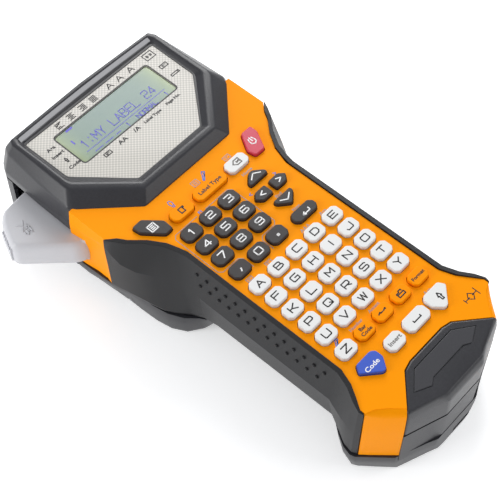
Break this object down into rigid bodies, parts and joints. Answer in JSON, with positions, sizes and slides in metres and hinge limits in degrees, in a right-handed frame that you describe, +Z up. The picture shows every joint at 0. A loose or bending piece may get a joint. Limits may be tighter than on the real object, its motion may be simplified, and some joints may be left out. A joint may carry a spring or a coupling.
{
  "type": "label maker",
  "caption": "Handheld label maker with a letter keypad, display hood, side grips, tape compartment and a push lever that cuts the label.",
  "frame": {"origin": "on the flat underside of the tape door, which rests on the table, in the body's middle plane, 19 mm in front of the door's centre", "axes": "+X to the right, +Y along the body towards the display, +Z up out of the keypad"},
  "size_m": [0.1418, 0.2505, 0.0645],
  "materials": {
    "orange_plastic": "moulded, fine grain",
    "dark_plastic": "moulded, fine grain",
    "black_plastic": "moulded, smooth",
    "grip_rubber": "soft touch, fine grain",
    "printed_lens": "clear sheet printed behind with a weave pattern",
    "lcd_glass": "liquid crystal display, no backlight",
    "white_keys": "satin",
    "dark_keys": "satin",
    "orange_keys": "satin",
    "red_key": "satin",
    "blue_key": "satin",
    "lever_plastic": "satin",
    "steel": "bright zinc",
    "gear_plastic": "natural acetal",
    "roller_rubber": "ground silicone",
    "ceramic": "glazed ceramic",
    "circuit_board": "solder mask",
    "cell_jacket": "plain sleeve",
    "label_tape": "laminated tape"
  },
  "bodies": {
    "casing": {"front_shell": "orange_plastic", "head_bezel": "dark_plastic", "display_lens": "printed_lens", "left_grip": "grip_rubber", "right_grip": "grip_rubber", "end_cap": "dark_plastic", "badge_plate": "black_plastic", "rear_shell": "dark_plastic", "case_screws": "steel", "lever_pin": "steel", "fixed_blade": "steel", "tape_cassette": "black_plastic", "chassis_plate": "steel", "feed_motor": "steel", "print_head": "ceramic", "key_mat": "roller_rubber", "main_board": "circuit_board", "lcd_module": "lcd_glass", "power_jack": "black_plastic", "data_port": "steel", "batteries": "cell_jacket", "battery_contacts": "steel"},
    "tape_door": {"tape_door": "dark_plastic"},
    "battery_door": {"battery_door": "dark_plastic"},
    "cutter_lever": {"cutter_lever": "lever_plastic"},
    "cutter_blade": {"cutter_blade": "steel"},
    "transfer_gear": {"transfer_gear": "gear_plastic"},
    "motor_pinion": {"motor_pinion": "gear_plastic"},
    "platen": {"platen_roller": "roller_rubber", "platen_gear": "gear_plastic"},
    "label_roll": {"label_roll": "label_tape"},
    "ribbon_spool": {"ribbon_spool": "black_plastic"},
    "keys_1": {"keys_1": "white_keys"},
    "keys_2": {"keys_2": "white_keys"},
    "keys_3": {"keys_3": "white_keys"},
    "keys_4": {"keys_4": "white_keys"},
    "keys_5": {"keys_5": "white_keys"},
    "digits_1": {"digits_1": "dark_keys"},
    "digits_2": {"digits_2": "dark_keys"},
    "digits_3": {"digits_3": "dark_keys"},
    "digits_4": {"digits_4": "dark_keys"},
    "key_z": {"key_z": "white_keys"},
    "key_bar_code": {"key_bar_code": "orange_keys"},
    "key_symbols": {"key_symbols": "orange_keys"},
    "key_file": {"key_file": "orange_keys"},
    "key_format": {"key_format": "orange_keys"},
    "key_feed": {"key_feed": "orange_keys"},
    "key_tape": {"key_tape": "orange_keys"},
    "key_delete": {"key_delete": "white_keys"},
    "key_print": {"key_print": "dark_keys"},
    "key_power": {"key_power": "red_key"},
    "key_up": {"key_up": "dark_keys"},
    "key_down": {"key_down": "dark_keys"},
    "key_left": {"key_left": "dark_keys"},
    "key_right": {"key_right": "dark_keys"},
    "key_enter": {"key_enter": "dark_keys"},
    "key_code": {"key_code": "blue_key"},
    "key_insert": {"key_insert": "white_keys"},
    "key_space": {"key_space": "white_keys"},
    "key_shift": {"key_shift": "white_keys"}
  },
  "joints": [
    {"name": "lever_press", "type": "hinge", "parent": "casing", "child": "cutter_lever", "pos_m": [-0.0534, 0.0005, 0.033], "axis": [0, 0, -1], "range_deg": [0, 10], "stiffness_Nm_per_rad": 0.3},
    {"name": "blade_slide", "type": "slide", "parent": "casing", "child": "cutter_blade", "axis": [0, -1, 0], "range_m": [0, 0.005]},
    {"name": "tape_door_lift", "type": "slide", "parent": "casing", "child": "tape_door", "axis": [0, 0, -1], "range_m": [0, 0.03]},
    {"name": "battery_door_lift", "type": "slide", "parent": "casing", "child": "battery_door", "axis": [0, 0, -1], "range_m": [0, 0.03]},
    {"name": "feed_turn", "type": "hinge", "parent": "casing", "child": "transfer_gear", "pos_m": [-0.0167, 0.02891, 0.036], "axis": [0, 0, 1], "continuous": true},
    {"name": "pinion_turn", "type": "hinge", "parent": "casing", "child": "motor_pinion", "pos_m": [0.00933, 0.03838, 0.036], "axis": [0, 0, 1], "continuous": true},
    {"name": "platen_turn", "type": "hinge", "parent": "casing", "child": "platen", "pos_m": [-0.0405, 0.0475, 0.02], "axis": [0, 0, 1], "continuous": true},
    {"name": "label_roll_turn", "type": "hinge", "parent": "casing", "child": "label_roll", "pos_m": [0.02, 0.018, 0.017], "axis": [0, 0, 1], "continuous": true},
    {"name": "ribbon_turn", "type": "hinge", "parent": "casing", "child": "ribbon_spool", "pos_m": [-0.016, 0.009, 0.017], "axis": [0, 0, 1], "continuous": true},
    {"name": "keys_1_press", "type": "slide", "parent": "casing", "child": "keys_1", "axis": [0, 0, -1], "range_m": [0, 0.001], "stiffness_N_per_m": 400},
    {"name": "keys_2_press", "type": "slide", "parent": "casing", "child": "keys_2", "axis": [0, 0, -1], "range_m": [0, 0.001], "stiffness_N_per_m": 400},
    {"name": "keys_3_press", "type": "slide", "parent": "casing", "child": "keys_3", "axis": [0, 0, -1], "range_m": [0, 0.001], "stiffness_N_per_m": 400},
    {"name": "keys_4_press", "type": "slide", "parent": "casing", "child": "keys_4", "axis": [0, 0, -1], "range_m": [0, 0.001], "stiffness_N_per_m": 400},
    {"name": "keys_5_press", "type": "slide", "parent": "casing", "child": "keys_5", "axis": [0, 0, -1], "range_m": [0, 0.001], "stiffness_N_per_m": 400},
    {"name": "digits_1_press", "type": "slide", "parent": "casing", "child": "digits_1", "axis": [0, 0, -1], "range_m": [0, 0.001], "stiffness_N_per_m": 400},
    {"name": "digits_2_press", "type": "slide", "parent": "casing", "child": "digits_2", "axis": [0, 0, -1], "range_m": [0, 0.001], "stiffness_N_per_m": 400},
    {"name": "digits_3_press", "type": "slide", "parent": "casing", "child": "digits_3", "axis": [0, 0, -1], "range_m": [0, 0.001], "stiffness_N_per_m": 400},
    {"name": "digits_4_press", "type": "slide", "parent": "casing", "child": "digits_4", "axis": [0, 0, -1], "range_m": [0, 0.001], "stiffness_N_per_m": 400},
    {"name": "key_z_press", "type": "slide", "parent": "casing", "child": "key_z", "axis": [0, 0, -1], "range_m": [0, 0.001], "stiffness_N_per_m": 400},
    {"name": "key_bar_code_press", "type": "slide", "parent": "casing", "child": "key_bar_code", "axis": [0, 0, -1], "range_m": [0, 0.001], "stiffness_N_per_m": 400},
    {"name": "key_symbols_press", "type": "slide", "parent": "casing", "child": "key_symbols", "axis": [0, 0, -1], "range_m": [0, 0.001], "stiffness_N_per_m": 400},
    {"name": "key_file_press", "type": "slide", "parent": "casing", "child": "key_file", "axis": [0, 0, -1], "range_m": [0, 0.001], "stiffness_N_per_m": 400},
    {"name": "key_format_press", "type": "slide", "parent": "casing", "child": "key_format", "axis": [0, 0, -1], "range_m": [0, 0.001], "stiffness_N_per_m": 400},
    {"name": "key_feed_press", "type": "slide", "parent": "casing", "child": "key_feed", "axis": [0, 0, -1], "range_m": [0, 0.001], "stiffness_N_per_m": 400},
    {"name": "key_tape_press", "type": "slide", "parent": "casing", "child": "key_tape", "axis": [0, 0, -1], "range_m": [0, 0.001], "stiffness_N_per_m": 400},
    {"name": "key_delete_press", "type": "slide", "parent": "casing", "child": "key_delete", "axis": [0, 0, -1], "range_m": [0, 0.001], "stiffness_N_per_m": 400},
    {"name": "key_print_press", "type": "slide", "parent": "casing", "child": "key_print", "axis": [0, 0, -1], "range_m": [0, 0.001], "stiffness_N_per_m": 400},
    {"name": "key_power_press", "type": "slide", "parent": "casing", "child": "key_power", "axis": [0, 0, -1], "range_m": [0, 0.001], "stiffness_N_per_m": 400},
    {"name": "key_up_press", "type": "slide", "parent": "casing", "child": "key_up", "axis": [0, 0, -1], "range_m": [0, 0.001], "stiffness_N_per_m": 400},
    {"name": "key_down_press", "type": "slide", "parent": "casing", "child": "key_down", "axis": [0, 0, -1], "range_m": [0, 0.001], "stiffness_N_per_m": 400},
    {"name": "key_left_press", "type": "slide", "parent": "casing", "child": "key_left", "axis": [0, 0, -1], "range_m": [0, 0.001], "stiffness_N_per_m": 400},
    {"name": "key_right_press", "type": "slide", "parent": "casing", "child": "key_right", "axis": [0, 0, -1], "range_m": [0, 0.001], "stiffness_N_per_m": 400},
    {"name": "key_enter_press", "type": "slide", "parent": "casing", "child": "key_enter", "axis": [0, 0, -1], "range_m": [0, 0.001], "stiffness_N_per_m": 400},
    {"name": "key_code_press", "type": "slide", "parent": "casing", "child": "key_code", "axis": [0, 0, -1], "range_m": [0, 0.001], "stiffness_N_per_m": 400},
    {"name": "key_insert_press", "type": "slide", "parent": "casing", "child": "key_insert", "axis": [0, 0, -1], "range_m": [0, 0.001], "stiffness_N_per_m": 400},
    {"name": "key_space_press", "type": "slide", "parent": "casing", "child": "key_space", "axis": [0, 0, -1], "range_m": [0, 0.001], "stiffness_N_per_m": 400},
    {"name": "key_shift_press", "type": "slide", "parent": "casing", "child": "key_shift", "axis": [0, 0, -1], "range_m": [0, 0.001], "stiffness_N_per_m": 400}
  ],
  "couplings": [
    {"joint": "blade_slide", "follows": "lever_press", "m_per_rad": 0.028648},
    {"joint": "pinion_turn", "follows": "feed_turn", "ratio": -6.8571},
    {"joint": "platen_turn", "follows": "feed_turn", "ratio": -4},
    {"joint": "label_roll_turn", "follows": "feed_turn", "ratio": 0.85714},
    {"joint": "ribbon_turn", "follows": "feed_turn", "ratio": 2}
  ]
}
